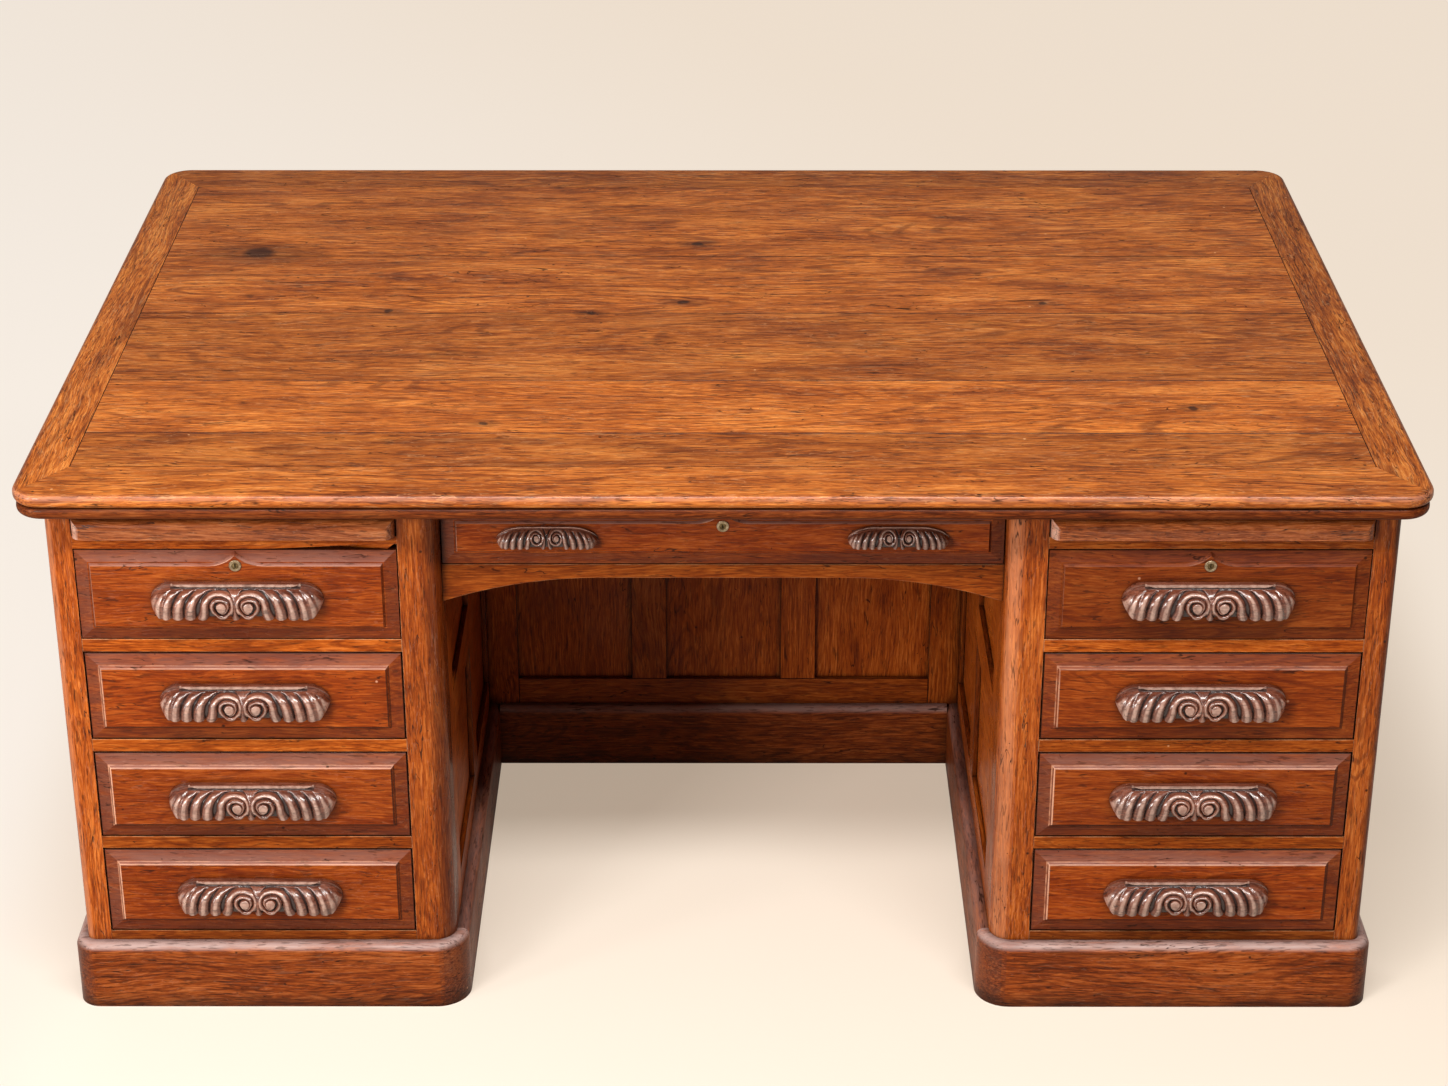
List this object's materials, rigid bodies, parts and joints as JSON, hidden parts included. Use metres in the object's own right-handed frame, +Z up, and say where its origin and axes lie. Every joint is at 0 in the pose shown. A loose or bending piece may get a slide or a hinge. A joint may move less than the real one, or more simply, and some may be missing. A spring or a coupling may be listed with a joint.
{
  "type": "pedestal desk",
  "caption": "Pedestal writing desk with raised-field drawers, carved pulls, pull-out writing slides and an arched kneehole, on a moulded plinth.",
  "frame": {"origin": "on the floor under the middle of the top", "axes": "+X along the desk to the right seen from the front, +Y from front to back, +Z up"},
  "size_m": [1.734, 1.206, 0.762],
  "materials": {
    "top_wood": "worn satin polish",
    "carcase_wood": "satin polish",
    "plinth_wood": "worn satin polish",
    "front_wood": "satin polish",
    "pull_wood": "glossy carved",
    "inner_wood": "bare",
    "lock_brass": "aged"
  },
  "bodies": {
    "desk": {"top_field_boards": "top_wood", "top_border_boards": "top_wood", "top_edge_moulding": "top_wood", "top_fixing_blocks": "inner_wood", "left_posts": "carcase_wood", "right_posts": "carcase_wood", "left_plinth": "plinth_wood", "right_plinth": "plinth_wood", "kneehole_plinth": "plinth_wood", "left_drawer_rails": "carcase_wood", "right_drawer_rails": "carcase_wood", "left_wall_frames": "carcase_wood", "right_wall_frames": "carcase_wood", "left_wall_panels": "carcase_wood", "right_wall_panels": "carcase_wood", "kneehole_back_frame": "carcase_wood", "kneehole_back_panels": "carcase_wood", "kneehole_aprons": "carcase_wood", "kneehole_top_rail": "carcase_wood", "drawer_runners": "inner_wood"},
    "left_drawer_1": {"left_drawer_1_front": "front_wood", "left_drawer_1_box": "inner_wood", "left_drawer_1_pull": "pull_wood", "left_lock_case": "lock_brass"},
    "left_drawer_2": {"left_drawer_2_front": "front_wood", "left_drawer_2_box": "inner_wood", "left_drawer_2_pull": "pull_wood"},
    "left_drawer_3": {"left_drawer_3_front": "front_wood", "left_drawer_3_box": "inner_wood", "left_drawer_3_pull": "pull_wood"},
    "left_drawer_4": {"left_drawer_4_front": "front_wood", "left_drawer_4_box": "inner_wood", "left_drawer_4_pull": "pull_wood"},
    "left_lock_plug": {"left_lock_plug": "lock_brass"},
    "left_lock_bolt": {"left_lock_bolt": "lock_brass"},
    "left_slide": {"left_slide_board": "front_wood", "left_slide_lip": "front_wood"},
    "right_drawer_1": {"right_drawer_1_front": "front_wood", "right_drawer_1_box": "inner_wood", "right_drawer_1_pull": "pull_wood", "right_lock_case": "lock_brass"},
    "right_drawer_2": {"right_drawer_2_front": "front_wood", "right_drawer_2_box": "inner_wood", "right_drawer_2_pull": "pull_wood"},
    "right_drawer_3": {"right_drawer_3_front": "front_wood", "right_drawer_3_box": "inner_wood", "right_drawer_3_pull": "pull_wood"},
    "right_drawer_4": {"right_drawer_4_front": "front_wood", "right_drawer_4_box": "inner_wood", "right_drawer_4_pull": "pull_wood"},
    "right_lock_plug": {"right_lock_plug": "lock_brass"},
    "right_lock_bolt": {"right_lock_bolt": "lock_brass"},
    "right_slide": {"right_slide_board": "front_wood", "right_slide_lip": "front_wood"},
    "centre_drawer": {"centre_drawer_front": "front_wood", "centre_drawer_box": "inner_wood", "centre_drawer_pulls": "pull_wood", "centre_lock_case": "lock_brass"},
    "centre_lock_plug": {"centre_lock_plug": "lock_brass"},
    "centre_lock_bolt": {"centre_lock_bolt": "lock_brass"}
  },
  "joints": [
    {"name": "left_drawer_1_slide", "type": "slide", "parent": "desk", "child": "left_drawer_1", "axis": [0, -1, 0], "range_m": [0, 0.4]},
    {"name": "left_drawer_2_slide", "type": "slide", "parent": "desk", "child": "left_drawer_2", "axis": [0, -1, 0], "range_m": [0, 0.4]},
    {"name": "left_drawer_3_slide", "type": "slide", "parent": "desk", "child": "left_drawer_3", "axis": [0, -1, 0], "range_m": [0, 0.4]},
    {"name": "left_drawer_4_slide", "type": "slide", "parent": "desk", "child": "left_drawer_4", "axis": [0, -1, 0], "range_m": [0, 0.4]},
    {"name": "left_lock_turn", "type": "hinge", "parent": "left_drawer_1", "child": "left_lock_plug", "pos_m": [-0.60325, -0.554, 0.647], "axis": [0, -1, 0], "range_deg": [0, 90]},
    {"name": "left_lock_shoot", "type": "slide", "parent": "left_drawer_1", "child": "left_lock_bolt", "axis": [0, 0, 1], "range_m": [0, 0.008]},
    {"name": "left_slide_pull_out", "type": "slide", "parent": "desk", "child": "left_slide", "axis": [0, -1, 0], "range_m": [0, 0.33]},
    {"name": "right_drawer_1_slide", "type": "slide", "parent": "desk", "child": "right_drawer_1", "axis": [0, -1, 0], "range_m": [0, 0.4]},
    {"name": "right_drawer_2_slide", "type": "slide", "parent": "desk", "child": "right_drawer_2", "axis": [0, -1, 0], "range_m": [0, 0.4]},
    {"name": "right_drawer_3_slide", "type": "slide", "parent": "desk", "child": "right_drawer_3", "axis": [0, -1, 0], "range_m": [0, 0.4]},
    {"name": "right_drawer_4_slide", "type": "slide", "parent": "desk", "child": "right_drawer_4", "axis": [0, -1, 0], "range_m": [0, 0.4]},
    {"name": "right_lock_turn", "type": "hinge", "parent": "right_drawer_1", "child": "right_lock_plug", "pos_m": [0.60325, -0.554, 0.647], "axis": [0, -1, 0], "range_deg": [0, 90]},
    {"name": "right_lock_shoot", "type": "slide", "parent": "right_drawer_1", "child": "right_lock_bolt", "axis": [0, 0, 1], "range_m": [0, 0.008]},
    {"name": "right_slide_pull_out", "type": "slide", "parent": "desk", "child": "right_slide", "axis": [0, -1, 0], "range_m": [0, 0.33]},
    {"name": "centre_drawer_slide", "type": "slide", "parent": "desk", "child": "centre_drawer", "axis": [0, -1, 0], "range_m": [0, 0.38]},
    {"name": "centre_lock_turn", "type": "hinge", "parent": "centre_drawer", "child": "centre_lock_plug", "pos_m": [0, -0.526, 0.688], "axis": [0, -1, 0], "range_deg": [0, 90]},
    {"name": "centre_lock_shoot", "type": "slide", "parent": "centre_drawer", "child": "centre_lock_bolt", "axis": [0, 0, 1], "range_m": [0, 0.008]}
  ],
  "couplings": [
    {"joint": "left_lock_turn", "follows": "left_lock_shoot", "rad_per_m": 196.34},
    {"joint": "right_lock_turn", "follows": "right_lock_shoot", "rad_per_m": 196.34},
    {"joint": "centre_lock_turn", "follows": "centre_lock_shoot", "rad_per_m": 196.34}
  ]
}
